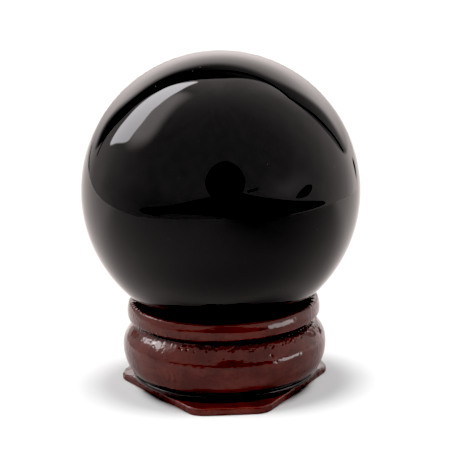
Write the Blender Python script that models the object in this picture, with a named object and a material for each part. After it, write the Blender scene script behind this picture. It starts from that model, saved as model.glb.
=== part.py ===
"""Polished sphere on a small turned and lacquered stand.

Four separate solids: the ball, the seat ring that it rests in, the turned stand body and the
six-sided foot plate. The origin is on the stand's axis, in the plane of the underside. +Z is up and
-Y is the front, where one short side of the foot faces.
"""
import math

import bmesh
import bpy
from mathutils import Vector

MM = 0.001

# Driving dimensions, in millimetres
BALL_DIAMETER = 50.0
BALL_CENTRE_HEIGHT = 36.0
GLUE_GAP = 0.3                  # every face that touches another keeps this much air

LIP_RADIUS = 16.5               # where the top of the seat ring turns over into its side
LIP_HEIGHT = 16.2
RIM_RADIUS = 17.45              # widest line of the seat ring
RIM_HEIGHT = 14.8
RIM_LOWER_REACH = 1.7           # the ring's side curves back in over this height below the rim
GROOVE_RADIUS = 16.0            # floor of the groove between the ring and the body
GROOVE_HEIGHT = 12.7            # the ring and the body meet here
CONTACT_RADIUS = 13.5           # circle where the ball touches the seat
BORE_RADIUS = 9.6
TENON_RADIUS = 12.4             # the ring's tenon, which locates it in the body's socket
TENON_END_HEIGHT = 11.0
SOCKET_RADIUS = TENON_RADIUS + GLUE_GAP
SOCKET_FLOOR_HEIGHT = 9.9

ROLL_RADIUS = 18.4              # widest line of the body's rounded side
ROLL_HEIGHT = 7.7
ROLL_ARCS = ((7.5, -34.0, 8.0), (3.3, 8.0, 31.0), (12.0, 31.0, 41.0))   # radius, first and last angle
LOWER_GROOVE_RADIUS = 16.3
LOWER_GROOVE_HEIGHT = 3.15
BEAD_RADIUS = 16.8              # thin bead under the lower groove
BEAD_HEIGHT = 2.6
BODY_FOOT_RADIUS = 16.1
PLATE_THICKNESS = 1.45

PLATE_SHORT_REACH = 18.6        # from the axis to each short side of the foot plate
PLATE_LONG_REACH = 14.9         # from the axis to each long side
PLATE_CORNER_RADIUS = 3.6
PLATE_TOP_ROUND = 0.45
PLATE_BOTTOM_ROUND = 0.25

# Fineness of the solids
TURNED_STEPS = 48
BALL_RINGS = 24
ARC_STEPS = 8
CORNER_STEPS = 5
EDGE_STEPS = 3
SMOOTH_ANGLE = math.radians(40)


def clear_scene():
    """Remove every object that the file starts with."""
    for old in list(bpy.data.objects):
        bpy.data.objects.remove(old, do_unlink=True)


def make_material(name, colour, roughness, coat=0.0):
    """Plain Principled material with one colour."""
    material = bpy.data.materials.new(name)
    material.use_nodes = True
    shader = material.node_tree.nodes["Principled BSDF"]
    shader.inputs["Base Color"].default_value = (*colour, 1.0)
    shader.inputs["Roughness"].default_value = roughness
    shader.inputs["Metallic"].default_value = 0.0
    shader.inputs["Coat Weight"].default_value = coat
    material.diffuse_color = (*colour, 1.0)
    return material


def add_object(name, mesh, material, location=(0.0, 0.0, 0.0)):
    """Link a mesh into the scene as a named object, shaded smooth up to SMOOTH_ANGLE."""
    mesh.materials.append(material)
    mesh.shade_smooth()
    mesh.set_sharp_from_angle(angle=SMOOTH_ANGLE)
    thing = bpy.data.objects.new(name, mesh)
    thing.location = location
    bpy.context.scene.collection.objects.link(thing)
    return thing


def arc(centre, radius, start, end, steps):
    """Points (r, h) on an arc about centre, from one angle to another in degrees."""
    points = []
    for index in range(steps + 1):
        angle = math.radians(start + (end - start) * index / steps)
        points.append((centre[0] + radius * math.cos(angle), centre[1] + radius * math.sin(angle)))
    return points


def quarter_curve(start, end, steps, bulge_first):
    """Quarter of an ellipse from start to end, leaving flat or upright as bulge_first says."""
    points = []
    for index in range(steps + 1):
        angle = 0.5 * math.pi * index / steps
        rise, run = math.sin(angle), 1.0 - math.cos(angle)
        along_r, along_h = (rise, run) if bulge_first else (run, rise)
        points.append((start[0] + (end[0] - start[0]) * along_r, start[1] + (end[1] - start[1]) * along_h))
    return points


def roll_outline():
    """The body's side from top to bottom: a flat shoulder, a tight turn and a long belly.

    The three arcs of ROLL_ARCS meet with one tangent. An angle is that of the outward normal above the
    level, and the belly's arc is placed so that its widest point is (ROLL_RADIUS, ROLL_HEIGHT).
    """
    centre = Vector((ROLL_RADIUS - ROLL_ARCS[0][0], ROLL_HEIGHT))
    radius = ROLL_ARCS[0][0]
    points = []
    for next_radius, start, end in ROLL_ARCS:
        turn = math.radians(start)
        centre = centre + Vector((math.cos(turn), math.sin(turn))) * (radius - next_radius)
        radius = next_radius
        steps = max(2, round((end - start) / 5.0))
        points += arc(centre, radius, start, end, steps)[1 if points else 0:]
    return list(reversed(points))


def turned_mesh(name, outline):
    """Spin a closed outline of (r, h) points about Z; a point at r = 0 becomes a pole."""
    mesh = bpy.data.meshes.new(name)
    work = bmesh.new()
    rings = []
    for radius, height in outline:
        if radius == 0.0:
            rings.append([work.verts.new((0.0, 0.0, height * MM))])
            continue
        ring = []
        for step in range(TURNED_STEPS):
            angle = 2.0 * math.pi * step / TURNED_STEPS
            ring.append(work.verts.new((radius * MM * math.cos(angle), radius * MM * math.sin(angle),
                                        height * MM)))
        rings.append(ring)
    closed_on_axis = len(rings[0]) == 1 or len(rings[-1]) == 1
    pairs = list(zip(rings[:-1], rings[1:]))
    if not closed_on_axis:
        pairs.append((rings[-1], rings[0]))
    for first, second in pairs:
        for step in range(TURNED_STEPS):
            after = (step + 1) % TURNED_STEPS
            if len(first) == 1:
                corners = (first[0], second[step], second[after])
            elif len(second) == 1:
                corners = (first[step], second[0], first[after])
            else:
                corners = (first[step], second[step], second[after], first[after])
            work.faces.new(corners)
    bmesh.ops.recalc_face_normals(work, faces=work.faces)
    work.to_mesh(mesh)
    work.free()
    return mesh


def seat_height(radius):
    """Height of the conical seat, which stays GLUE_GAP square off the ball at the contact circle."""
    ball_radius = 0.5 * BALL_DIAMETER
    drop = math.sqrt(ball_radius ** 2 - CONTACT_RADIUS ** 2)
    slope = CONTACT_RADIUS / drop
    touch = BALL_CENTRE_HEIGHT - drop - GLUE_GAP * ball_radius / drop
    return touch + slope * (radius - CONTACT_RADIUS)


def build_ball(material):
    """A full sphere, one solid piece, with its origin at its centre."""
    work = bmesh.new()
    bmesh.ops.create_uvsphere(work, u_segments=TURNED_STEPS, v_segments=BALL_RINGS,
                              radius=0.5 * BALL_DIAMETER * MM)
    mesh = bpy.data.meshes.new("crystal_ball")
    work.to_mesh(mesh)
    work.free()
    return add_object("crystal_ball", mesh, material, (0.0, 0.0, BALL_CENTRE_HEIGHT * MM))


def build_seat_ring(material):
    """Ring with a conical seat inside, a rounded rim outside and a tenon below."""
    seat_edge = 0.4
    inner_lip = LIP_RADIUS - seat_edge
    outline = [(BORE_RADIUS, TENON_END_HEIGHT), (BORE_RADIUS, seat_height(BORE_RADIUS)),
               (CONTACT_RADIUS, seat_height(CONTACT_RADIUS)), (inner_lip, LIP_HEIGHT)]
    outline += quarter_curve((LIP_RADIUS, LIP_HEIGHT), (RIM_RADIUS, RIM_HEIGHT), ARC_STEPS // 2, True)
    rim_foot = (GROOVE_RADIUS, RIM_HEIGHT - RIM_LOWER_REACH)
    outline += quarter_curve((RIM_RADIUS, RIM_HEIGHT), rim_foot, ARC_STEPS // 2, False)[1:]
    underside = GROOVE_HEIGHT + 0.5 * GLUE_GAP
    outline += [(GROOVE_RADIUS, underside), (TENON_RADIUS, underside), (TENON_RADIUS, TENON_END_HEIGHT)]
    return add_object("seat_ring", turned_mesh("seat_ring", outline), material)


def build_stand_body(material):
    """Turned body: socket in the top, one large rounded side, a groove and a bead at the bottom."""
    top = GROOVE_HEIGHT - 0.5 * GLUE_GAP
    underside = PLATE_THICKNESS + GLUE_GAP
    outline = [(0.0, SOCKET_FLOOR_HEIGHT), (SOCKET_RADIUS, SOCKET_FLOOR_HEIGHT), (SOCKET_RADIUS, top),
               (GROOVE_RADIUS, top)]
    outline += roll_outline()
    outline += [(LOWER_GROOVE_RADIUS, LOWER_GROOVE_HEIGHT + 0.1), (LOWER_GROOVE_RADIUS, LOWER_GROOVE_HEIGHT),
                (BEAD_RADIUS, BEAD_HEIGHT + 0.2), (BEAD_RADIUS, BEAD_HEIGHT - 0.2),
                (BODY_FOOT_RADIUS, underside), (0.0, underside)]
    return add_object("stand_body", turned_mesh("stand_body", outline), material)


def plate_loop(inset):
    """Plan outline of the foot plate, drawn in by inset, with short and long sides in turn."""
    radius = PLATE_CORNER_RADIUS - inset
    points = []
    for side in range(6):
        first = math.radians(60.0 * side - 90.0)
        second = first + math.radians(60.0)
        reaches = (PLATE_SHORT_REACH, PLATE_LONG_REACH)
        here = reaches[side % 2] - PLATE_CORNER_RADIUS
        there = reaches[1 - side % 2] - PLATE_CORNER_RADIUS
        along = (there - here * math.cos(math.radians(60.0))) / math.sin(math.radians(60.0))
        centre = Vector((math.cos(first), math.sin(first))) * here
        centre += Vector((-math.sin(first), math.cos(first))) * along
        for step in range(CORNER_STEPS + 1):
            angle = first + (second - first) * step / CORNER_STEPS
            points.append((centre.x + radius * math.cos(angle), centre.y + radius * math.sin(angle)))
    return points


def build_foot_plate(material):
    """Thin flat plate with six sides, rounded corners and eased upper and lower edges."""
    levels = []
    for step in range(EDGE_STEPS + 1):
        angle = 0.5 * math.pi * step / EDGE_STEPS
        levels.append((PLATE_BOTTOM_ROUND * (1.0 - math.sin(angle)),
                       PLATE_BOTTOM_ROUND * (1.0 - math.cos(angle))))
    for step in range(EDGE_STEPS + 1):
        angle = 0.5 * math.pi * step / EDGE_STEPS
        levels.append((PLATE_TOP_ROUND * (1.0 - math.cos(angle)),
                       PLATE_THICKNESS - PLATE_TOP_ROUND * (1.0 - math.sin(angle))))
    work = bmesh.new()
    loops = []
    for inset, height in levels:
        loops.append([work.verts.new((x * MM, y * MM, height * MM)) for x, y in plate_loop(inset)])
    for lower, upper in zip(loops[:-1], loops[1:]):
        for index in range(len(lower)):
            after = (index + 1) % len(lower)
            work.faces.new((lower[index], lower[after], upper[after], upper[index]))
    work.faces.new(list(reversed(loops[0])))
    work.faces.new(loops[-1])
    bmesh.ops.recalc_face_normals(work, faces=work.faces)
    mesh = bpy.data.meshes.new("foot_plate")
    work.to_mesh(mesh)
    work.free()
    return add_object("foot_plate", mesh, material)


def main():
    clear_scene()
    black_glass = make_material("polished_black_glass", (0.006, 0.006, 0.007), 0.03)
    lacquer = make_material("red_brown_lacquer", (0.075, 0.012, 0.009), 0.16, coat=0.6)
    build_ball(black_glass)
    build_seat_ring(lacquer)
    build_stand_body(lacquer)
    build_foot_plate(lacquer)


main()
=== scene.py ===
"""Looks of a polished black sphere on a small turned and lacquered stand.

The sphere and the three pieces of the stand are surfaces worked out on grids. Every length below is in
millimetres and is turned into metres only where a mesh is written.
"""
import math

import bpy
import numpy as np
from mathutils import Matrix, Vector


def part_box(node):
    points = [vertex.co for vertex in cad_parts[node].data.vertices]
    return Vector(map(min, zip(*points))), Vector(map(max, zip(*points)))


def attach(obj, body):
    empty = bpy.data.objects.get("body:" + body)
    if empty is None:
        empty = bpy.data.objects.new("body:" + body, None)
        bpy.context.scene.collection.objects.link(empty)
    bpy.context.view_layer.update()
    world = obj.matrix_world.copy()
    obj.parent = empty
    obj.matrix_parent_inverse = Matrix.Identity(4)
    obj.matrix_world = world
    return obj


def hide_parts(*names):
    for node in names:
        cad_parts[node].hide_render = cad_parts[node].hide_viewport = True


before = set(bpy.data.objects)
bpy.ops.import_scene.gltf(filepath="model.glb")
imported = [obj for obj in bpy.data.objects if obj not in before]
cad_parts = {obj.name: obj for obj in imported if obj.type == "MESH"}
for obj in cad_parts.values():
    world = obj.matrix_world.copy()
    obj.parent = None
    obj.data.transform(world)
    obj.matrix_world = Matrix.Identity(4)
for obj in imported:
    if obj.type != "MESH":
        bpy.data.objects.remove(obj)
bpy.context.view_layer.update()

MM = 0.001


def node_box(node):
    """Lowest and highest corner of a CAD node, in millimetres."""
    low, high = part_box(node)
    return np.array(low) / MM, np.array(high) / MM


# ---------------------------------------------------------------- sizes, read from the frame
ball_low, ball_high = node_box("crystal_ball")
ring_low, ring_high = node_box("seat_ring")
body_low, body_high = node_box("stand_body")
plate_low, plate_high = node_box("foot_plate")

BALL_CENTRE = 0.5 * (ball_low + ball_high)
BALL_RADIUS = 0.5 * (ball_high[2] - ball_low[2])
RIM_RADIUS = ring_high[0]
LIP_HEIGHT = ring_high[2]
TENON_END = ring_low[2]
ROLL_RADIUS = body_high[0]
BODY_TOP = body_high[2]
BODY_UNDERSIDE = body_low[2]
PLATE_TOP = plate_high[2]
PLATE_SHORT_REACH = -plate_low[1]
PLATE_LONG_REACH = plate_high[1]

# ---------------------------------------------------------------- sizes of the mouldings
LIP_RADIUS = RIM_RADIUS - 0.95
GROOVE_RADIUS = RIM_RADIUS - 1.45
RING_UNDERSIDE = BODY_TOP + 0.08
BORE_RADIUS = 9.6
TENON_RADIUS = 12.4
SOCKET_RADIUS = 12.7
SOCKET_FLOOR = 9.9
CONTACT_RADIUS = 13.5
SEAT_GAP = 0.3
ROLL_HEIGHT = 7.7
ROLL_ARCS = ((7.5, -34.0, 8.0), (3.3, 8.0, 31.0), (12.0, 31.0, 41.0))   # radius, first and last angle
LOWER_GROOVE_RADIUS = 16.3
BEAD_RADIUS = 16.8
BEAD_HEIGHT = 2.6
BODY_FOOT_RADIUS = 16.1
PLATE_CORNER = 3.6
PLATE_LEAST_CORNER = 0.6        # radius that the plan keeps at its corners however far it is drawn in

GROOVE_LEAN = 0.35              # the upper groove is deeper at the right than at the left by twice this
AROUND = 720                    # points around a turned piece
FINE = 0.12                     # spacing along an outline where it shows
COARSE = 0.8                    # spacing where it is hidden


# ---------------------------------------------------------------- meshes from grids
def skin(name, rows, low_pole, high_pole, attributes=None):
    """Surface from rows of points.

    rows has the shape (rows, columns, 3), in millimetres. Neighbouring rows are joined by quads that
    wrap round the columns. A pole, where given, closes its end with a fan of triangles. With no low
    pole the last row is joined to the first. Each attribute is one number for every point, poles last.
    """
    count_rows, count_columns = rows.shape[:2]
    index = np.arange(count_rows * count_columns).reshape(count_rows, count_columns)
    after = np.roll(index, -1, axis=1)
    if low_pole is None:
        index = np.vstack([index, index[:1]])
        after = np.vstack([after, after[:1]])
    quads = np.stack([index[:-1], after[:-1], after[1:], index[1:]], axis=-1).reshape(-1, 4)
    points = rows.reshape(-1, 3)
    faces = quads.tolist()
    for pole, ring, ring_after, flip in ((low_pole, index[0], after[0], False),
                                         (high_pole, index[-1], after[-1], True)):
        if pole is None:
            continue
        tip = np.full(count_columns, len(points))
        points = np.vstack([points, np.array(pole, dtype=float)[None]])
        fan = np.stack([ring, tip, ring_after] if not flip else [ring, ring_after, tip], axis=-1)
        faces += fan.tolist()
    mesh = bpy.data.meshes.new(name)
    mesh.from_pydata((points * MM).tolist(), [], faces)
    for label, values in (attributes or {}).items():
        full = np.zeros(len(points))
        full[:values.size] = values.ravel()
        layer = mesh.attributes.new(label, "FLOAT", "POINT")
        layer.data.foreach_set("value", full.astype(np.float32))
    mesh.shade_smooth()
    mesh.update()
    piece = bpy.data.objects.new(name, mesh)
    bpy.context.scene.collection.objects.link(piece)
    return piece


def arc(centre, radius, start, end):
    """Points on a circle about centre from one angle to another, in degrees, FINE apart."""
    length = abs(math.radians(end - start)) * radius
    angles = np.radians(np.linspace(start, end, max(3, int(length / FINE) + 1)))
    return np.stack([centre[0] + radius * np.cos(angles), centre[1] + radius * np.sin(angles)], axis=1)


def run(points, spacing):
    """Straight runs through the points, cut into steps of about the spacing."""
    points = np.array(points, dtype=float)
    pieces = []
    for start, end in zip(points[:-1], points[1:]):
        steps = max(1, int(np.hypot(*(end - start)) / spacing))
        pieces.append(start + (end - start) * np.linspace(0.0, 1.0, steps, endpoint=False)[:, None])
    return np.vstack(pieces)


def soften(outline, passes, keep_ends):
    """Round every corner a little, as thick lacquer does: each point moves to the mean of itself and
    its two neighbours, the given number of times."""
    outline = outline.copy()
    for _ in range(passes):
        mean = (np.roll(outline, 1, axis=0) + outline + np.roll(outline, -1, axis=0)) / 3.0
        if keep_ends:
            mean[0], mean[-1] = outline[0], outline[-1]
        outline = mean
    return outline


def ripples(angle, height, seed, waves, slowest, fastest, tallest):
    """Sum of sine waves that wrap round the axis.

    Each wave is sin(m * angle + k * height + phase) / sqrt(m). m is a whole number between slowest and
    fastest, k is a wave number up to tallest per millimetre, and all are drawn from the seed. The sum
    is scaled to about -1 to 1.
    """
    draw = np.random.default_rng(seed)
    total = np.zeros(np.broadcast(angle, height).shape)
    norm = 0.0
    for _ in range(waves):
        around = int(draw.integers(slowest, fastest + 1))
        up = draw.uniform(-tallest, tallest)
        phase = draw.uniform(0.0, 2.0 * math.pi)
        size = 1.0 / math.sqrt(around)
        total += size * np.sin(around * angle + up * height + phase)
        norm += 0.5 * size * size
    return total / (2.0 * math.sqrt(norm))


def near(value, centre, reach):
    """Smooth hump: 1 at the centre, falling as a bell to nearly 0 at twice the reach."""
    return np.exp(-((value - centre) / reach) ** 2)


def turned(name, outline, relief, attributes=None, poles=(None, None)):
    """Surface of revolution with relief.

    outline is a run of (r, h) points. Each point is carried round Z, then moved along the outline's
    own outward normal by relief(angle, r, h) millimetres.
    """
    along = np.gradient(outline, axis=0)
    along /= np.maximum(np.hypot(along[:, 0], along[:, 1]), 1e-9)[:, None]
    normal = np.stack([along[:, 1], -along[:, 0]], axis=1)
    angle = np.linspace(0.0, 2.0 * math.pi, AROUND, endpoint=False)[None, :]
    r, h = outline[:, 0:1], outline[:, 1:2]
    push = relief(angle, r + 0.0 * angle, h + 0.0 * angle)
    radius = r + normal[:, 0:1] * push
    height = h + normal[:, 1:2] * push
    rows = np.stack([radius * np.cos(angle), radius * np.sin(angle), height + 0.0 * angle], axis=-1)
    values = {label: make(angle, r + 0.0 * angle, h + 0.0 * angle)
              for label, make in (attributes or {}).items()}
    return skin(name, rows, poles[0], poles[1], values)


# ---------------------------------------------------------------- the ball
def make_ball():
    """Sphere: latitude rings of radius R cos(a) at height R sin(a) about the centre."""
    columns, rings = 360, 181
    latitude = np.linspace(-0.5 * math.pi, 0.5 * math.pi, rings)[1:-1, None]
    longitude = np.linspace(0.0, 2.0 * math.pi, columns, endpoint=False)[None, :]
    rows = np.stack([BALL_CENTRE[0] + BALL_RADIUS * np.cos(latitude) * np.cos(longitude),
                     BALL_CENTRE[1] + BALL_RADIUS * np.cos(latitude) * np.sin(longitude),
                     BALL_CENTRE[2] + BALL_RADIUS * np.sin(latitude) + 0.0 * longitude], axis=-1)
    low = BALL_CENTRE - [0.0, 0.0, BALL_RADIUS]
    high = BALL_CENTRE + [0.0, 0.0, BALL_RADIUS]
    return skin("polished_ball", rows, low, high)


# ---------------------------------------------------------------- the stand
def seat_height(radius):
    """Height of the conical seat, which clears the ball by SEAT_GAP where they would touch."""
    drop = math.sqrt(BALL_RADIUS ** 2 - CONTACT_RADIUS ** 2)
    touch = BALL_CENTRE[2] - drop - SEAT_GAP * BALL_RADIUS / drop
    return touch + CONTACT_RADIUS / drop * (radius - CONTACT_RADIUS)


def lacquer_lumps(angle, h, seed, size):
    """Slow unevenness of a hand-dipped film, with finer drips on top."""
    slow = ripples(angle, h, seed, 22, 2, 14, 0.9)
    quick = ripples(angle, h, seed + 1, 60, 30, 160, 4.0)
    return size * (slow + 0.20 * quick)


def ring_relief(angle, r, h):
    """Lumps all over, short drips along the lower edge and an uneven lip; shallower near the bore."""
    outside = np.clip((r - 14.0) / 2.0, 0.0, 1.0)
    lumps = lacquer_lumps(angle, h, 11, 0.04)
    drips = 0.04 * ripples(angle, h, 17, 20, 70, 200, 2.0) * near(h, RING_UNDERSIDE + 0.7, 0.5)
    lip = 0.045 * ripples(angle, h, 19, 20, 40, 160, 1.0) * near(h, LIP_HEIGHT, 0.35)
    return outside * (lumps + drips + lip - GROOVE_LEAN * np.cos(angle) * near(h, RING_UNDERSIDE, 0.5))


def groove_stain(angle, h, low, high, seed):
    """1 inside a height band whose two edges wander, 0 well outside it."""
    wander = 0.12 * ripples(angle, 0.0, seed, 24, 5, 120, 0.0)
    inside = np.clip((h - low - wander) / 0.25, 0.0, 1.0)
    return inside * np.clip((high + wander - h) / 0.25, 0.0, 1.0)


def ring_stain_and_shade(angle, r, h):
    """1 in the groove under the ring, which is really stained dark, and 2, which is also dull, in the dished
    seat and the bore, where it is painted shade under the ball.
    """
    groove = groove_stain(angle, h, 9.0, RING_UNDERSIDE + 0.3, 31)
    # painted shade: the seat under the ball and the bore are made near-black and dull
    seat_shade = np.clip((LIP_RADIUS - 0.35 - r) / 0.3, 0.0, 1.0) * (h > RING_UNDERSIDE + 0.3)
    return np.maximum(groove, 2.0 * seat_shade)


def make_ring():
    """Seat ring: tenon, conical seat, rounded rim and a groove wall, carried round the axis."""
    inner_lip = LIP_RADIUS - 0.4
    outline = np.vstack([
        run([(BORE_RADIUS, TENON_END), (BORE_RADIUS, seat_height(BORE_RADIUS)),
             (CONTACT_RADIUS, seat_height(CONTACT_RADIUS))], COARSE),
        run([(CONTACT_RADIUS, seat_height(CONTACT_RADIUS)), (inner_lip, LIP_HEIGHT - 0.02)], 3 * FINE),
        run([(inner_lip, LIP_HEIGHT), (LIP_RADIUS + 0.25, LIP_HEIGHT - 0.02), (RIM_RADIUS - 0.38, 15.93),
             (RIM_RADIUS - 0.2, 15.45), (RIM_RADIUS - 0.04, 14.8), (RIM_RADIUS, 14.3),
             (RIM_RADIUS - 0.03, 13.95)], FINE),
        arc((RIM_RADIUS - 0.85, 13.75), 0.83, 10, -72),
        run([(GROOVE_RADIUS + 0.25, 12.82), (GROOVE_RADIUS, RING_UNDERSIDE)], FINE),
        run([(GROOVE_RADIUS, RING_UNDERSIDE), (TENON_RADIUS, RING_UNDERSIDE), (TENON_RADIUS, TENON_END),
             (BORE_RADIUS, TENON_END)], COARSE)])
    outline = soften(outline, 3, False)
    return turned("lacquered_ring", outline[::-1], ring_relief, {"stain_and_shade": ring_stain_and_shade})


def pit_field(angle, h, seed, count, angles, heights, radii, depth):
    """Small round pits: for each pit, a bell of its own radius, cut to the given depth."""
    draw = np.random.default_rng(seed)
    total = np.zeros(angle.shape)
    for _ in range(count):
        place = math.radians(draw.uniform(*angles))
        level = draw.uniform(*heights)
        reach = draw.uniform(*radii)
        turn = np.angle(np.exp(1j * (angle - place))) * ROLL_RADIUS
        total = np.maximum(total, np.exp(-((turn ** 2 + (h - level) ** 2) / reach ** 2) ** 2))
    return depth * total


FRONT = -90.0                   # the angle of -Y, in degrees


def body_pits(angle, h):
    """Rough patch along the upper groove, from the front round to the right, and one dent."""
    rough = pit_field(angle, h, 41, 120, (FRONT - 36, FRONT + 78), (11.1, 12.1), (0.08, 0.24), 0.16)
    dent = pit_field(angle, h, 43, 1, (FRONT + 24.8, FRONT + 24.9), (9.8, 9.81), (0.34, 0.35), 0.16)
    stray = pit_field(angle, h, 47, 26, (0, 360), (4.0, 12.0), (0.08, 0.16), 0.06)
    return rough + dent + stray


def body_relief(angle, r, h):
    """Lumps all over, a vertical smear low at the front left, an uneven edge at the upper groove and
    the pits. All fade to nothing towards the hidden middle."""
    outside = np.clip((r - 14.5) / 1.5, 0.0, 1.0)
    lumps = lacquer_lumps(angle, h, 51, 0.05)
    lean = GROOVE_LEAN * np.cos(angle) * near(h, BODY_TOP - 0.2, 0.5)
    smear = 0.05 * ripples(angle, h, 57, 30, 60, 160, 4.0) * near(h, 6.2, 1.4) * near(
        np.angle(np.exp(1j * (angle - math.radians(FRONT - 35)))), 0.0, 0.16)
    edge = 0.03 * ripples(angle, h, 59, 20, 70, 200, 2.0) * near(h, BODY_TOP - 0.4, 0.5)
    return outside * (lumps + smear + edge - lean - body_pits(angle, h))


def body_stain_and_shade(angle, r, h):
    """1 in the upper and lower grooves, which are really stained dark, and 2, which is also dull, in the
    hidden middle and the socket floor seen through the bore, where it is painted shade.
    """
    upper = groove_stain(angle, h, 11.95, 13.5, 61)
    lower = groove_stain(angle, h, 2.2, 3.55, 67)
    # painted shade: the socket and hidden middle, seen through the bore, made near-black and dull
    inner_shade = 2.0 * np.clip((15.5 - r) / 0.3, 0.0, 1.0)
    return np.maximum(np.maximum(upper, lower), inner_shade)


def roll_side():
    """Side of the body from bottom to top: three arcs that meet with one tangent, a long belly, a
    tight turn and a flat shoulder. Each next centre lies on the line through the last one's end."""
    radius = ROLL_ARCS[0][0]
    centre = np.array([ROLL_RADIUS - radius, ROLL_HEIGHT])
    pieces = []
    for next_radius, start, end in ROLL_ARCS:
        turn = math.radians(start)
        centre = centre + (radius - next_radius) * np.array([math.cos(turn), math.sin(turn)])
        radius = next_radius
        pieces.append(arc(centre, radius, start, end)[:-1])
    return np.vstack(pieces)


def make_body():
    """Body: socket, rounded side, the lower groove and its bead, carried round the axis."""
    outline = np.vstack([
        run([(0.4, SOCKET_FLOOR), (SOCKET_RADIUS, SOCKET_FLOOR), (SOCKET_RADIUS, BODY_TOP),
             (GROOVE_RADIUS - 0.15, BODY_TOP)], COARSE),
        run([(GROOVE_RADIUS - 0.1, BODY_TOP), (GROOVE_RADIUS, BODY_TOP - 0.15),
             (GROOVE_RADIUS + 0.2, BODY_TOP - 0.5), (GROOVE_RADIUS + 0.6, BODY_TOP - 0.83)], FINE),
        roll_side()[::-1],
        run([(LOWER_GROOVE_RADIUS, 3.3), (LOWER_GROOVE_RADIUS, 3.1), (BEAD_RADIUS, BEAD_HEIGHT + 0.2),
             (BEAD_RADIUS, BEAD_HEIGHT - 0.2), (BODY_FOOT_RADIUS, BODY_UNDERSIDE)], FINE),
        run([(BODY_FOOT_RADIUS, BODY_UNDERSIDE), (0.4, BODY_UNDERSIDE)], COARSE)])
    outline = soften(outline, 2, True)
    return turned("lacquered_body", outline[::-1], body_relief, {"stain_and_shade": body_stain_and_shade},
                  ((0.0, 0.0, BODY_UNDERSIDE), (0.0, 0.0, SOCKET_FLOOR)))


def plate_plan(inset, columns):
    """Plan of the foot plate drawn in by inset: six arcs of 60 degrees joined by straight sides. The
    columns are shared out by length along the full-size plan, so they line up from row to row."""
    radius = max(PLATE_CORNER - inset, PLATE_LEAST_CORNER)
    reaches = (PLATE_SHORT_REACH - inset - radius, PLATE_LONG_REACH - inset - radius)
    points = []
    for side in range(6):
        first = math.radians(60.0 * side + FRONT)
        here, there = reaches[side % 2], reaches[1 - side % 2]
        along = (there - 0.5 * here) / math.sin(math.radians(60.0))
        centre = np.array([math.cos(first), math.sin(first)]) * here
        centre = centre + np.array([-math.sin(first), math.cos(first)]) * along
        angles = first + np.linspace(0.0, math.radians(60.0), 12)
        points.append(centre + radius * np.stack([np.cos(angles), np.sin(angles)], axis=1))
    points = np.vstack(points + [points[0][:1]])
    fraction = np.linspace(0.0, 1.0, len(points))
    steps = np.linspace(0.0, 1.0, columns, endpoint=False)
    full = plate_lengths()
    wanted = np.interp(steps, full, fraction)
    return np.stack([np.interp(wanted, fraction, points[:, 0]),
                     np.interp(wanted, fraction, points[:, 1])], axis=1)


def plate_lengths():
    """Share of the plate's outer perimeter that lies before each point of its plan."""
    straight_short = (4.0 * PLATE_LONG_REACH - 2.0 * PLATE_SHORT_REACH) / math.sqrt(3.0)
    straight_long = (4.0 * PLATE_SHORT_REACH - 2.0 * PLATE_LONG_REACH) / math.sqrt(3.0)
    trim = 2.0 * PLATE_CORNER * math.tan(math.radians(30.0))
    corner = PLATE_CORNER * math.radians(60.0) / 11.0
    steps = []
    for side in range(6):
        steps += [corner] * 11
        steps.append((straight_long if side % 2 == 0 else straight_short) - trim)
    return np.concatenate([[0.0], np.cumsum(steps)]) / sum(steps)


def make_plate():
    """Foot plate: its plan is carried up a section of (inset, height) points, from the middle of the
    underside, round both eased edges, to the middle of the top."""
    columns = 720
    top, under = 0.45, 0.25
    turn = np.radians(np.linspace(0.0, 90.0, 7))
    section = [(10.5, 0.0), (6.0, 0.0), (2.0, 0.0), (0.8, 0.0)]
    section += list(zip(under * (1.0 - np.sin(turn)), under * (1.0 - np.cos(turn))))
    section += [(0.0, 0.4), (0.0, 0.55), (0.0, 0.7), (0.0, 0.85)]
    section += list(zip(top * (1.0 - np.cos(turn)), PLATE_TOP - top * (1.0 - np.sin(turn))))
    section += [(inset, PLATE_TOP) for inset in np.arange(0.6, 3.6, 0.12)]
    section += [(5.0, PLATE_TOP), (8.0, PLATE_TOP), (10.5, PLATE_TOP)]
    rows = []
    for inset, height in section:
        plan = plate_plan(inset, columns)
        rows.append(np.column_stack([plan, np.full(columns, height)]))
    rows = np.array(rows)
    angle = np.arctan2(rows[..., 1], rows[..., 0])
    h = rows[..., 2]
    edge = np.exp(-np.array([inset for inset, _ in section]) / 1.2)[:, None]
    push = 0.06 * ripples(angle, h, 71, 22, 3, 24, 1.0) + 0.05 * ripples(angle, h, 73, 26, 40, 160, 3.0)
    push = push * edge - 0.02 * edge
    lifted = np.clip(h / 0.4, 0.0, 1.0)
    outward = rows[..., :2] / np.hypot(rows[..., 0], rows[..., 1])[..., None]
    rows[..., :2] += outward * (push * lifted)[..., None]
    reach = np.hypot(rows[..., 0], rows[..., 1])
    sag = 0.035 * ripples(angle, 0.3 * reach, 79, 26, 5, 60, 1.5)
    worn = 0.45 * near(np.abs(np.cos(angle)), 1.0, 0.035) * near(reach, 19.2, 1.3)
    rows[..., 2] += np.where(h > 0.5, np.minimum((h - 0.5) / 0.5, 1.0) * (sag - 0.03 - worn), 0.0)
    # painted shade: near-black on the plate's top under the body's foot, between the two parts
    stain_and_shade = np.clip((15.2 - reach) / 0.4, 0.0, 1.0) * (h > 1.0)
    return skin("lacquered_foot", rows, (0.0, 0.0, 0.0), (0.0, 0.0, PLATE_TOP), {"stain_and_shade": stain_and_shade})


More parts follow.
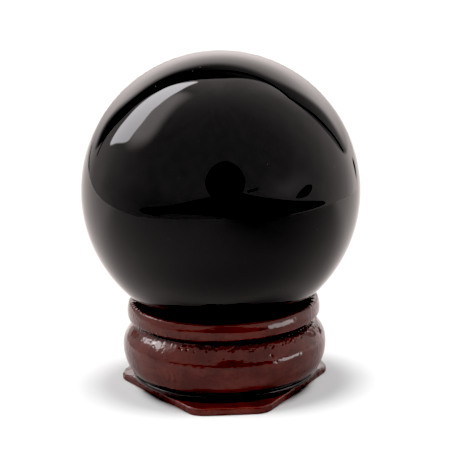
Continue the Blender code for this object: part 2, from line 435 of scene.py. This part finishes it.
# ---------------------------------------------------------------- shared effects, as node groups
def new_group(name, inputs, outputs):
    """Empty shader group with the given (name, default) inputs and named outputs."""
    group = bpy.data.node_groups.new(name, "ShaderNodeTree")
    for label, default in inputs:
        kind = "NodeSocketVector" if default is None else "NodeSocketFloat"
        socket = group.interface.new_socket(label, in_out="INPUT", socket_type=kind)
        if default is not None:
            socket.default_value = default
    for label in outputs:
        group.interface.new_socket(label, in_out="OUTPUT", socket_type="NodeSocketFloat")
    return group, group.nodes.new("NodeGroupInput"), group.nodes.new("NodeGroupOutput")


def maths(tree, operation, first, second=None, third=None):
    """Math node; each value is a socket or a number."""
    node = tree.nodes.new("ShaderNodeMath")
    node.operation = operation
    for socket, value in zip(node.inputs, (first, second, third)):
        if value is None:
            continue
        if isinstance(value, (int, float)):
            socket.default_value = value
        else:
            tree.links.new(value, socket)
    return node.outputs[0]


def spread(tree, value, low, high, to_low=0.0, to_high=1.0):
    """Map Range node: low to high becomes to_low to to_high, with smooth ends, clamped."""
    node = tree.nodes.new("ShaderNodeMapRange")
    node.interpolation_type = "SMOOTHSTEP"
    for label, number in (("From Min", low), ("From Max", high), ("To Min", to_low), ("To Max", to_high)):
        if isinstance(number, (int, float)):
            node.inputs[label].default_value = number
        else:
            tree.links.new(number, node.inputs[label])
    tree.links.new(value, node.inputs["Value"])
    return node.outputs["Result"]


def noise(tree, place, scale, detail=2.0, roughness=0.5):
    """Noise Texture node's value; scale is a number or a socket, in cells per metre."""
    node = tree.nodes.new("ShaderNodeTexNoise")
    node.inputs["Detail"].default_value = detail
    node.inputs["Roughness"].default_value = roughness
    tree.links.new(place, node.inputs["Vector"])
    if isinstance(scale, (int, float)):
        node.inputs["Scale"].default_value = scale
    else:
        tree.links.new(scale, node.inputs["Scale"])
    return node.outputs["Fac"]


def mix_colour(tree, mask, first, second):
    """Mix node in colour mode; each colour is a socket or four numbers."""
    node = tree.nodes.new("ShaderNodeMix")
    node.data_type = "RGBA"
    tree.links.new(mask, node.inputs["Factor"])
    for socket, value in ((node.inputs[6], first), (node.inputs[7], second)):
        if isinstance(value, tuple):
            socket.default_value = value
        else:
            tree.links.new(value, socket)
    return node.outputs[2]


def make_specks_group():
    """Specks: a round dot in a few of the cells of a Voronoi pattern. Amount is the share of cells
    that hold one and Size the dot's radius as a share of a cell."""
    sockets = (("Place", None), ("Scale", 400.0), ("Amount", 0.3), ("Size", 0.08))
    group, start, end = new_group("scattered_specks", sockets, ("Mask",))
    cells = group.nodes.new("ShaderNodeTexVoronoi")
    group.links.new(start.outputs["Place"], cells.inputs["Vector"])
    group.links.new(start.outputs["Scale"], cells.inputs["Scale"])
    split = group.nodes.new("ShaderNodeSeparateColor")
    group.links.new(cells.outputs["Color"], split.inputs["Color"])
    chosen = maths(group, "LESS_THAN", split.outputs["Red"], start.outputs["Amount"])
    reach = maths(group, "MULTIPLY", start.outputs["Size"], maths(group, "ADD", split.outputs["Green"], 0.35))
    dot = spread(group, maths(group, "DIVIDE", cells.outputs["Distance"], reach), 0.6, 1.0, 1.0, 0.0)
    group.links.new(maths(group, "MULTIPLY", dot, chosen), end.inputs["Mask"])
    return group


def make_film_group():
    """Unevenness of a brushed film: coarse and fine noise added into one height, and a slower
    noise given out as a mask for mottling."""
    group, start, end = new_group("film_unevenness", (("Place", None), ("Scale", 1500.0), ("Fine", 0.4)),
                                  ("Height", "Mottle"))
    coarse = noise(group, start.outputs["Place"], start.outputs["Scale"], 1.0)
    fine_scale = maths(group, "MULTIPLY", start.outputs["Scale"], 3.1)
    fine = noise(group, start.outputs["Place"], fine_scale, 2.0)
    height = maths(group, "MULTIPLY_ADD", fine, start.outputs["Fine"], coarse)
    slow_scale = maths(group, "MULTIPLY", start.outputs["Scale"], 0.16)
    group.links.new(height, end.inputs["Height"])
    group.links.new(spread(group, noise(group, start.outputs["Place"], slow_scale, 4.0, 0.6), 0.35, 0.65),
                    end.inputs["Mottle"])
    return group


SPECKS = make_specks_group()
FILM = make_film_group()


def use_group(tree, group, place, **values):
    """Places a shared group in a material with its own values."""
    node = tree.nodes.new("ShaderNodeGroup")
    node.node_tree = group
    tree.links.new(place, node.inputs["Place"])
    for label, number in values.items():
        node.inputs[label].default_value = number
    return node


# ---------------------------------------------------------------- materials
def new_material(name):
    """Material with its Principled shader and the socket of its object coordinates."""
    material = bpy.data.materials.new(name)
    material.use_nodes = True
    tree = material.node_tree
    place = tree.nodes.new("ShaderNodeTexCoord").outputs["Object"]
    return material, tree, tree.nodes["Principled BSDF"], place


def bump(tree, shader, height, distance):
    """Bump node into the shader's Normal; distance is the full height in metres."""
    node = tree.nodes.new("ShaderNodeBump")
    node.inputs["Strength"].default_value = 1.0
    node.inputs["Distance"].default_value = distance
    tree.links.new(height, node.inputs["Height"])
    tree.links.new(node.outputs["Normal"], shader.inputs["Normal"])


def black_glass():
    """Polished black glass: dust, a few tiny pits and very faint hairline scratches."""
    material, tree, shader, place = new_material("polished_black_glass")
    shader.inputs["IOR"].default_value = 1.5
    dust = use_group(tree, SPECKS, place, Scale=420.0, Amount=0.16, Size=0.055).outputs["Mask"]
    lint = use_group(tree, SPECKS, place, Scale=900.0, Amount=0.06, Size=0.09).outputs["Mask"]
    pits = use_group(tree, SPECKS, place, Scale=150.0, Amount=0.10, Size=0.03).outputs["Mask"]
    smoke = noise(tree, place, 55.0, 3.0)
    stretch = tree.nodes.new("ShaderNodeMapping")
    stretch.inputs["Rotation"].default_value = (0.5, 0.3, 0.9)
    stretch.inputs["Scale"].default_value = (1.0, 40.0, 1.0)
    tree.links.new(place, stretch.inputs["Vector"])
    hairline = spread(tree, noise(tree, stretch.outputs["Vector"], 90.0, 1.0), 0.70, 0.74)
    specks = maths(tree, "MAXIMUM", dust, lint)
    body = mix_colour(tree, smoke, (0.0012, 0.0010, 0.0010, 1.0), (0.0030, 0.0024, 0.0024, 1.0))
    tree.links.new(mix_colour(tree, specks, body, (0.055, 0.046, 0.042, 1.0)), shader.inputs["Base Color"])
    rough = maths(tree, "MULTIPLY_ADD", specks, 0.35, 0.006)
    tree.links.new(maths(tree, "MULTIPLY_ADD", hairline, 0.02, rough), shader.inputs["Roughness"])
    height = maths(tree, "SUBTRACT", maths(tree, "MULTIPLY", specks, 0.25), pits)
    bump(tree, shader, height, 0.00004)
    return material


def lacquer():
    """Thick dark red lacquer over wood: mottled colour, near-black stained grooves, near-black painted
    shade, also dull, in the seat, the hidden middle and under the body, a glossy uneven film with a faint
    broad haze, and settled dust."""
    material, tree, shader, place = new_material("red_brown_lacquer")
    shader.inputs["IOR"].default_value = 1.5
    film = use_group(tree, FILM, place, Scale=1300.0, Fine=0.08)
    stain_and_shade = tree.nodes.new("ShaderNodeAttribute")
    stain_and_shade.attribute_name = "stain_and_shade"
    streak = tree.nodes.new("ShaderNodeMapping")
    streak.inputs["Scale"].default_value = (1.0, 1.0, 5.0)
    tree.links.new(place, streak.inputs["Vector"])
    grain = noise(tree, streak.outputs["Vector"], 260.0, 5.0, 0.65)
    red = mix_colour(tree, film.outputs["Mottle"], (0.060, 0.0110, 0.0084, 1.0), (0.096, 0.0185, 0.0138, 1.0))
    red = mix_colour(tree, spread(tree, grain, 0.52, 0.72), red, (0.045, 0.0084, 0.0063, 1.0))
    # near-black: real stain in the grooves, painted shade in the seat, the hidden middle and under the body
    stained_and_shaded = mix_colour(tree, stain_and_shade.outputs["Fac"], red, (0.0050, 0.0036, 0.0034, 1.0))
    dust = use_group(tree, SPECKS, place, Scale=560.0, Amount=0.12, Size=0.06).outputs["Mask"]
    tree.links.new(mix_colour(tree, dust, stained_and_shaded, (0.12, 0.10, 0.09, 1.0)), shader.inputs["Base Color"])
    shader.inputs["Coat Weight"].default_value = 0.14
    shader.inputs["Coat Roughness"].default_value = 0.34
    rough = maths(tree, "MULTIPLY_ADD", film.outputs["Mottle"], 0.02, 0.02)
    rough = maths(tree, "MULTIPLY_ADD", spread(tree, stain_and_shade.outputs["Fac"], 1.0, 2.0), 0.8, rough)
    tree.links.new(maths(tree, "MULTIPLY_ADD", dust, 0.3, rough), shader.inputs["Roughness"])
    bump(tree, shader, film.outputs["Height"], 0.00004)
    return material


# ---------------------------------------------------------------- camera, floor and light tent
CAMERA_LENS = 179.9             # millimetres, on a sensor 36 mm wide
CAMERA_DISTANCE = 0.390         # metres in front of the axis
CAMERA_HEIGHT = 0.1364          # metres above the floor
CAMERA_DROP, CAMERA_RUN = 0.26428, 0.96444   # the line of sight falls this much over this run
CAMERA_ASIDE = -0.09            # degrees about Z
CAMERA_ROLL = -1.44             # degrees about the line of sight
VIEW_TURN = -2.2                # the camera, tent and lights are turned this much about Z, in degrees
BLACK_LEVEL = 0.03              # light below this is shown as black
SUN_ELEVATION = 65              # degrees
SUN_WIDTH = 26.0                # degrees across, which sets how soft the shadow's edge is
STAND_MIDDLE = 8.0              # height the lamps aim at, in millimetres
FILL_DISTANCE = 350             # millimetres from the axis
FILL_SIZE = 160                 # millimetres across
PATCH_DISTANCE = 150            # millimetres from the axis, inside the tent
SKY_STRENGTH = 0.06             # of the light from the sky
SKY_SHOWN = 1.1                 # of the sky where the camera sees it
TENT_COLOUR = (1.0, 0.905, 0.885, 1.0)
LAMP_COLOUR = (1.0, 0.965, 1.0, 1.0)
MIRRORED_FLOOR_SHADE = (0.70, 0.635, 0.62, 1.0)        # the floor as mirrored, in front and at the sides: painted tint and shade
MIRRORED_FLOOR_LIGHT = (0.95, 0.86, 0.84, 1.0)       # and behind: painted tint and light


def make_camera():
    """Long lens a little above the ball. It is swung round the object by VIEW_TURN, aimed a little to
    one side and turned about its own axis by a small roll."""
    data = bpy.data.cameras.new("camera")
    data.lens = CAMERA_LENS
    data.sensor_width = 36.0
    data.clip_start, data.clip_end = 0.01, 20.0
    camera = bpy.data.objects.new("camera", data)
    bpy.context.scene.collection.objects.link(camera)
    swing = Matrix.Rotation(math.radians(VIEW_TURN), 3, "Z")
    camera.location = swing @ Vector((0.0, -CAMERA_DISTANCE, CAMERA_HEIGHT))
    camera.rotation_mode = "XYZ"
    slope = math.degrees(math.atan2(CAMERA_DROP, CAMERA_RUN))
    turn = Matrix.Rotation(math.radians(VIEW_TURN + CAMERA_ASIDE), 3, "Z")
    turn = turn @ Matrix.Rotation(math.radians(90.0 - slope), 3, "X")
    turn = turn @ Matrix.Rotation(math.radians(CAMERA_ROLL), 3, "Z")
    camera.rotation_euler = turn.to_euler()
    bpy.context.scene.camera = camera


def make_floor():
    """Pale round floor: rings of points about the middle, closed by a fan. The camera sees plain
    paper. Mirrors see a painted tint like the tent's light, painted shade at the right, far in front and
    close in, and painted light behind."""
    radii = np.array([3000.0, 1500.0, 600.0, 200.0, 60.0])[:, None]
    angle = np.linspace(0.0, 2.0 * math.pi, 96, endpoint=False)[None, :]
    rows = np.stack([radii * np.cos(angle), radii * np.sin(angle), 0.0 * radii * angle], axis=-1)
    floor = skin("pale_floor", rows[::-1], (0.0, 0.0, 0.0), None)
    material, tree, shader, place = new_material("pale_paper")
    shader.inputs["Roughness"].default_value = 0.9
    shader.inputs["Specular IOR Level"].default_value = 0.1
    tone = noise(tree, place, 6.0, 2.0)
    paper = mix_colour(tree, tone, (0.80, 0.80, 0.80, 1.0), (0.815, 0.815, 0.815, 1.0))
    split = tree.nodes.new("ShaderNodeSeparateXYZ")
    tree.links.new(place, split.inputs["Vector"])
    # painted shade and light for mirrors: darker at the right, far in front and close to the stand, brighter
    # behind
    side = spread(tree, split.outputs["X"], -0.05, 0.07, 1.0, 0.80)
    ahead = spread(tree, split.outputs["Y"], -0.20, -0.05, 0.94, 1.0)
    length = tree.nodes.new("ShaderNodeVectorMath")
    length.operation = "LENGTH"
    tree.links.new(place, length.inputs[0])
    close = spread(tree, length.outputs["Value"], 0.025, 0.06, 0.86, 1.0)
    shade = maths(tree, "MULTIPLY", maths(tree, "MULTIPLY", side, ahead), close)
    behind = spread(tree, split.outputs["Y"], 0.0, 0.045)
    painted_floor_shade = mix_colour(tree, shade, (0.0, 0.0, 0.0, 1.0), MIRRORED_FLOOR_SHADE)
    mirrored = mix_colour(tree, behind, painted_floor_shade, MIRRORED_FLOOR_LIGHT)
    ray = tree.nodes.new("ShaderNodeLightPath")
    shown = mix_colour(tree, ray.outputs["Is Glossy Ray"], paper, mirrored)
    tree.links.new(shown, shader.inputs["Base Color"])
    floor.data.materials.append(material)
    return floor


def smooth_loop(points, steps):
    """Closed Catmull-Rom curve through the points, with the given steps between neighbours."""
    p = np.array(points, dtype=float)
    before, after, beyond = np.roll(p, 1, axis=0), np.roll(p, -1, axis=0), np.roll(p, -2, axis=0)
    t = np.linspace(0.0, 1.0, steps, endpoint=False)[None, :, None]
    p, before, after, beyond = (q[:, None, :] for q in (p, before, after, beyond))
    curve = 0.5 * (2.0 * p + (after - before) * t + (2.0 * before - 5.0 * p + 4.0 * after - beyond) * t ** 2
                   + (3.0 * p - before - 3.0 * after + beyond) * t ** 3)
    return curve.reshape(-1, 2)


def distance_to(azimuth, elevation, path, closed):
    """Distance from every grid point to a run of straight pieces, in degrees."""
    ends = np.roll(path, -1, axis=0) if closed else path[1:]
    starts = path if closed else path[:-1]
    best = np.full(azimuth.shape, 1e9)
    for (ax, ay), (bx, by) in zip(starts, ends):
        dx, dy = bx - ax, by - ay
        share = ((azimuth - ax) * dx + (elevation - ay) * dy) / max(dx * dx + dy * dy, 1e-9)
        share = np.clip(share, 0.0, 1.0)
        best = np.minimum(best, (azimuth - ax - share * dx) ** 2 + (elevation - ay - share * dy) ** 2)
    return np.sqrt(best)


def inside(azimuth, elevation, path):
    """True where a grid point lies inside the closed path, by counting the edges to its right."""
    crossed = np.zeros(azimuth.shape, dtype=bool)
    for (ax, ay), (bx, by) in zip(path, np.roll(path, -1, axis=0)):
        spans = (ay > elevation) != (by > elevation)
        rise = by - ay if abs(by - ay) > 1e-9 else 1e-9
        crossed ^= spans & (azimuth < ax + (elevation - ay) / rise * (bx - ax))
    return crossed


def patch(azimuth, elevation, middle, points, blur):
    """Mask of a smooth closed shape. points are (azimuth from the middle, elevation) in degrees, and
    the edge fades over blur degrees."""
    turn = (azimuth - middle + 180.0) % 360.0 - 180.0
    path = smooth_loop(points, 6)
    gap = distance_to(turn, elevation, path, True)
    signed = np.where(inside(turn, elevation, path), gap, -gap)
    share = np.clip(0.5 + signed / blur, 0.0, 1.0)
    return share * share * (3.0 - 2.0 * share)


def line(azimuth, elevation, middle, points, width):
    """Mask of a thin line through the points, fading to nothing at its width."""
    turn = (azimuth - middle + 180.0) % 360.0 - 180.0
    gap = distance_to(turn, elevation, np.array(points, dtype=float), False)
    return np.clip(1.5 - 1.5 * gap / width, 0.0, 1.0)


def tent_glow(azimuth, elevation):
    """Brightness of the tent by direction: walls, soft glow, dark opening behind, lamp crescent, dark
    gap along the front, camera hole and small slots."""
    side = np.interp(azimuth, [-180, -150, -127, -115, -60, 60, 117, 135, 155, 180],
                     [1.0, 1.05, 0.74, 0.85, 0.86, 0.88, 1.1, 1.55, 1.05, 1.0])
    behind = np.abs(azimuth)
    top = np.interp(behind, [0, 60, 120, 180], [0.89, 0.92, 1.1, 1.3])
    lift = np.clip((elevation - 45.0) / 30.0, 0.0, 1.0)
    glow = side * (1.0 - lift) + top * lift
    zenith = np.clip((elevation - 75.0) / 15.0, 0.0, 1.0)
    glow = glow * (1.0 - zenith) + zenith
    low_left = np.clip((12.0 - elevation) / 12.0, 0.0, 1.0) * np.clip((20.0 - azimuth) / 30.0, 0.0, 1.0)
    glow *= 1.0 - 0.1 * low_left
    glow *= 1.0 + 0.3 * np.exp(-((azimuth - 56.0) / 15.0) ** 2 - ((elevation - 9.0) / 7.0) ** 2)
    glow *= 1.0 + 0.03 * ripples(np.radians(azimuth), elevation, 83, 40, 4, 30, 0.5)
    # soft glow beside the lamp
    glow += 1.7 * patch(azimuth, elevation, -112, (
        (-16, 62), (-4, 68), (14, 62), (28, 50), (30, 38), (16, 29), (0, 36)), 14.0)
    # dark opening behind, round a bright window, with a blacker line on it
    turn = azimuth % 360.0 - 180.0
    front_edge = ((52, 20), (51, 30), (45, 43), (39, 51), (20, 62), (-3, 65), (-23, 60), (-43, 48), (-54, 42),
                  (-59, 34), (-60, 18), (-53, 4), (-30, 1), (30, 1), (46, 6))
    opening = patch(azimuth, elevation, 180, front_edge, 1.5)
    gap = distance_to(turn, elevation, smooth_loop(front_edge, 4), True)
    glow += 0.45 * np.exp(-gap / 5.0) * np.clip((elevation - 30.0) / 20.0, 0.0, 1.0)
    window = patch(azimuth, elevation, 180, (
        (42, -8), (35, 9), (36, 24), (31, 31), (19, 38), (8, 41), (-15, 43), (-30, 42), (-38, 34),
        (-41, 20), (-41, -8)), 9.0)
    back = np.interp(elevation, [-10, 0, 6, 12, 20, 27, 36, 45], [1.0, 0.95, 1.35, 1.8, 2.05, 1.8, 1.4, 1.1])
    shade = np.interp(turn, [-60, -10, 30, 60], [0.5, 0.42, 0.25, 0.12])
    glow = glow * (1.0 - opening) + opening * (shade * (1.0 - window) + back * window)
    rim = line(azimuth, elevation, 180, (
        (50, 5), (50, 23), (44, 34), (39, 44), (27, 50), (13, 53), (-2, 54), (-17, 53), (-32, 50), (-43, 47),
        (-54, 42), (-56, 34), (-56, 20), (-53, 5)), 1.2)
    glow *= 1.0 - 0.85 * rim
    # lamp crescent
    crescent = patch(azimuth, elevation, -120, (
        (2, 16), (-1, 23), (-4, 31), (-14, 44.5), (-19, 49), (-28, 58), (-36, 64), (-20, 62.5), (-9, 60),
        (4, 53), (9, 48), (16, 41), (19, 33), (19, 27), (9, 20.5)), 1.2)
    heat = np.interp(elevation, [16, 64], [5.3, 8.8])
    glow = glow * (1.0 - crescent) + crescent * heat
    # dark gap along the front, and the camera hole
    band = patch(azimuth, elevation, 0, (
        (-64, -5), (-40, 0.5), (-24, 5), (-8, 9), (9, 13), (23, 8.5), (39, 4), (56, -0.5), (88, -8),
        (55, -8.6), (50, -11.4), (30, -10), (14, -8.6), (-1, -5.5), (-16, -4), (-40, -4), (-50, -7)), 1.0)
    hole = patch(azimuth, elevation, 4, (
        (0, 36.5), (11, 32), (16, 21), (11, 10), (0, 5.5), (-11, 10), (-16, 21), (-11, 32)), 1.0)
    glow *= 1.0 - np.maximum(band, hole)
    slots = np.maximum(patch(azimuth, elevation, 68, ((-8, 1), (-3, 4.6), (4, 6.2), (8, 4.5), (2, 0.6)), 0.8),
                       patch(azimuth, elevation, 142, ((-3, -4.5), (0, -3.5), (3, -6.5), (0, -9.5)), 0.8))
    slots = np.maximum(slots, line(azimuth, elevation, 0, ((22, 12), (29, 13)), 0.8))
    slots = np.maximum(slots, line(azimuth, elevation, 0, ((-150, -1.6), (-138, -4.4)), 0.9))
    return glow * (1.0 - slots)


def make_tent():
    """Light tent around the object, seen only in reflections. Each point lies in a direction
    (azimuth, elevation) from the ball's middle, on a wall whose foot meets the floor at the
    distance where that direction's floor ends, leaning out to a dome above."""
    azimuth = np.arange(-180.0, 180.0, 0.5)[None, :]
    elevation = np.concatenate([np.arange(-16.0, 70.0, 0.5), np.arange(70.0, 90.0, 1.0)])[:, None]
    foot = np.interp(azimuth, [-180, -139, -107, -70, 0, 60, 103, 138, 155, 180],
                     [5.0, 4.5, 7.5, 10.0, 7.0, 10.0, 10.0, 12.0, 7.0, 5.0])
    base = BALL_CENTRE[2] / np.tan(np.radians(foot))
    rise = np.clip(elevation / 40.0, 0.0, 1.0)
    reach = base * (1.0 - rise) / np.cos(np.radians(elevation)) + 500.0 * rise
    flat = reach * np.cos(np.radians(elevation))
    around = np.radians(azimuth + VIEW_TURN)
    rows = np.stack([flat * np.sin(around), -flat * np.cos(around),
                     BALL_CENTRE[2] + reach * np.sin(np.radians(elevation))], axis=-1)
    azimuth, elevation = azimuth + 0.0 * elevation, elevation + 0.0 * azimuth
    glow = tent_glow(azimuth, elevation)
    values = np.concatenate([glow.ravel(), [0.9, 1.0]])
    tent = skin("light_tent", rows, (0.0, 0.0, -400.0), (0.0, 0.0, 536.0), {"glow": values})
    material = bpy.data.materials.new("tent_cloth")
    material.use_nodes = True
    tree = material.node_tree
    tree.nodes.clear()
    light = tree.nodes.new("ShaderNodeEmission")
    mark = tree.nodes.new("ShaderNodeAttribute")
    mark.attribute_name = "glow"
    lamp = spread(tree, mark.outputs["Fac"], 2.5, 5.0)
    tree.links.new(mix_colour(tree, lamp, TENT_COLOUR, LAMP_COLOUR), light.inputs["Color"])
    tree.links.new(mark.outputs["Fac"], light.inputs["Strength"])
    tree.links.new(light.outputs["Emission"], tree.nodes.new("ShaderNodeOutputMaterial").inputs["Surface"])
    tent.data.materials.append(material)
    tent.visible_camera = False
    tent.visible_diffuse = False
    tent.visible_shadow = False
    tent.visible_transmission = False


def direction(azimuth, elevation):
    """Unit vector towards an azimuth (0 is the front, 90 the right) and elevation, in degrees."""
    flat = math.cos(math.radians(elevation))
    around = math.radians(azimuth + VIEW_TURN)
    return np.array([flat * math.sin(around), -flat * math.cos(around),
                     math.sin(math.radians(elevation))])


def link(lamp, name, receivers, blockers=None):
    """Lights only the receivers and, where blockers are given, lets only those cast its shadow."""
    for role, pieces in (("receiver", receivers), ("blocker", blockers)):
        if pieces is None:
            continue
        group = bpy.data.collections.new(name + "_" + role)
        for piece in pieces:
            group.objects.link(piece)
        setattr(lamp.light_linking, role + "_collection", group)


def place_light(name, kind, azimuth, elevation, distance, aim_height):
    """Light in a direction from the stand, turned towards a point on the axis."""
    data = bpy.data.lights.new(name, kind)
    lamp = bpy.data.objects.new(name, data)
    aim = np.array([0.0, 0.0, aim_height])
    lamp.location = (aim + direction(azimuth, elevation) * distance) * MM
    lamp.rotation_euler = Vector(-direction(azimuth, elevation)).to_track_quat("-Z", "Y").to_euler()
    bpy.context.scene.collection.objects.link(lamp)
    return lamp


def make_lights(floor, stand_pieces):
    """Uniform sky, two soft suns from the sides and softboxes round the stand.

    The suns light the floor alone and only the stand shades it. The fills light the stand and are not
    mirrored. The patches are mirrored, each by the one piece of the stand given with it."""
    world = bpy.data.worlds.new("pale_room")
    world.use_nodes = True
    tree = world.node_tree
    sky = tree.nodes["Background"]
    sky.inputs["Color"].default_value = (1.0, 1.0, 1.0, 1.0)
    ray = tree.nodes.new("ShaderNodeLightPath")
    seen = maths(tree, "MULTIPLY_ADD", ray.outputs["Is Camera Ray"], SKY_SHOWN - SKY_STRENGTH, SKY_STRENGTH)
    tree.links.new(seen, sky.inputs["Strength"])
    bpy.context.scene.world = world
    for name, azimuth, strength in (("left_light", -95, 2.42), ("right_light", 92, 1.98)):
        lamp = place_light(name, "SUN", azimuth, SUN_ELEVATION, 800, 0.0)
        lamp.data.energy = strength
        lamp.data.angle = math.radians(SUN_WIDTH)
        lamp.visible_glossy = False
        link(lamp, name, [floor], stand_pieces)
    ring, body, plate = stand_pieces
    for name, azimuth, elevation, power, pieces in (
            ("left_fill", -105, 30, 0.75, stand_pieces), ("right_fill", 95, 25, 0.30, stand_pieces),
            ("front_fill", 0, 50, 0.5, stand_pieces), ("plate_fill", 0, 50, 0.7, [plate])):
        lamp = place_light(name, "AREA", azimuth, elevation, FILL_DISTANCE, STAND_MIDDLE)
        lamp.data.shape = "DISK"
        lamp.data.size = FILL_SIZE * MM
        lamp.data.energy = power
        lamp.visible_glossy = False
        link(lamp, name, pieces)
    for name, azimuth, elevation, wide, tall, power, pieces in (
            ("right_patch", 71, 0, 90, 36, 0.050, [body]), ("ring_patch", 68, 5, 100, 34, 0.045, [ring]),
            ("left_patch", -98, 38, 50, 40, 0.034, [body])):
        patch_light = place_light(name, "AREA", azimuth, elevation, PATCH_DISTANCE, STAND_MIDDLE)
        patch_light.data.shape = "RECTANGLE"
        patch_light.data.size, patch_light.data.size_y = wide * MM, tall * MM
        patch_light.data.energy = power
        patch_light.visible_diffuse = False
        link(patch_light, name, pieces)


# ---------------------------------------------------------------- putting it together
def main():
    """Makes the pieces, ties each to its CAD body, hides the CAD node it stands for, and sets the stage."""
    glass, film = black_glass(), lacquer()
    made = ((make_ball(), "ball", "crystal_ball", "black_glass", glass),
            (make_ring(), "stand", "seat_ring", "lacquered_wood", film),
            (make_body(), "stand", "stand_body", "lacquered_wood", film),
            (make_plate(), "stand", "foot_plate", "lacquered_wood", film))
    for piece, body, node, slot, material in made:
        piece.data.materials.append(material)
        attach(piece, body)
        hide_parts(node)
    make_camera()
    floor = make_floor()
    make_tent()
    make_lights(floor, [row[0] for row in made[1:]])
    view = bpy.context.scene.view_settings
    view.view_transform = "Standard"
    view.look = "None"
    view.use_curve_mapping = True
    view.curve_mapping.black_level = [BLACK_LEVEL * part for part in TENT_COLOUR[:3]]
    view.curve_mapping.update()


main()
